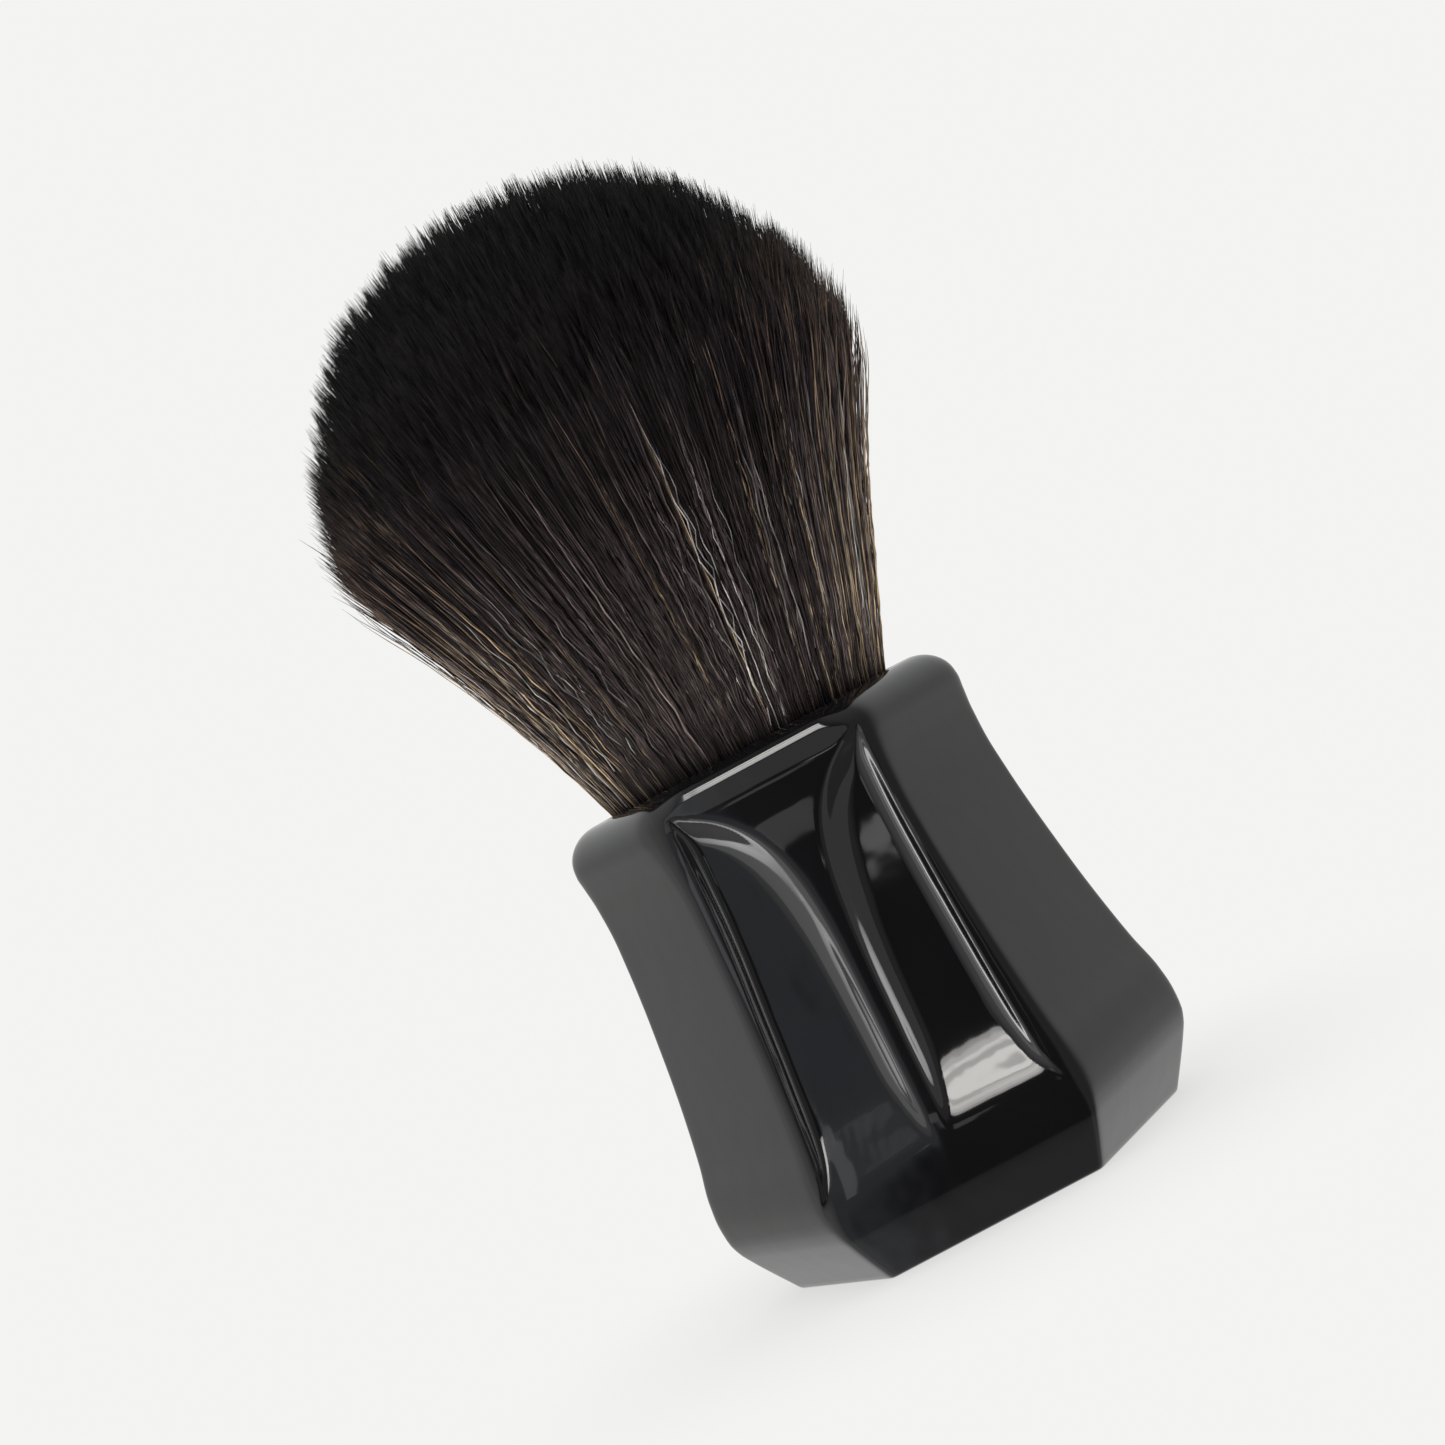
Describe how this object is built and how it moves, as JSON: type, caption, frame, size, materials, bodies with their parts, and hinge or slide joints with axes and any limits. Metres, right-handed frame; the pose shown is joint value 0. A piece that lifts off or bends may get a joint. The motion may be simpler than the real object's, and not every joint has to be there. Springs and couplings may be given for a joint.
{
  "type": "shaving brush",
  "caption": "Shaving brush with a waisted six-sided gloss black handle, finger pockets carved in alternate facets, and a bulb-shaped dark synthetic knot that bends on springs.",
  "frame": {"origin": "centre of the handle's flat base, which the brush stands on", "axes": "+Z along the brush's axis from the base to the tip of the knot; -Y out of a carved facet; +X to that facet's right"},
  "size_m": [0.0494, 0.0494, 0.097],
  "materials": {
    "handle_resin": "gloss",
    "adhesive": "satin",
    "plug_resin": "satin",
    "thread": "matte",
    "fibre_brown": "satin",
    "fibre_dark": "satin"
  },
  "bodies": {
    "handle": {"handle_body": "handle_resin", "socket_adhesive": "adhesive", "knot_plug": "plug_resin", "binding_thread": "thread", "fibre_root": "fibre_brown"},
    "knot_belly": {"fibre_belly": "fibre_brown"},
    "knot_crown": {"fibre_crown": "fibre_dark"}
  },
  "joints": [
    {"name": "knot_bend_front", "type": "hinge", "parent": "handle", "child": "knot_belly", "pos_m": [0, 0, 0.044], "axis": [1, 0, 0], "range_deg": [-25, 25], "stiffness_Nm_per_rad": 0.2},
    {"name": "knot_bend_side", "type": "hinge", "parent": "knot_belly", "child": "knot_crown", "pos_m": [0, 0, 0.062], "axis": [0, 1, 0], "range_deg": [-25, 25], "stiffness_Nm_per_rad": 0.2}
  ]
}
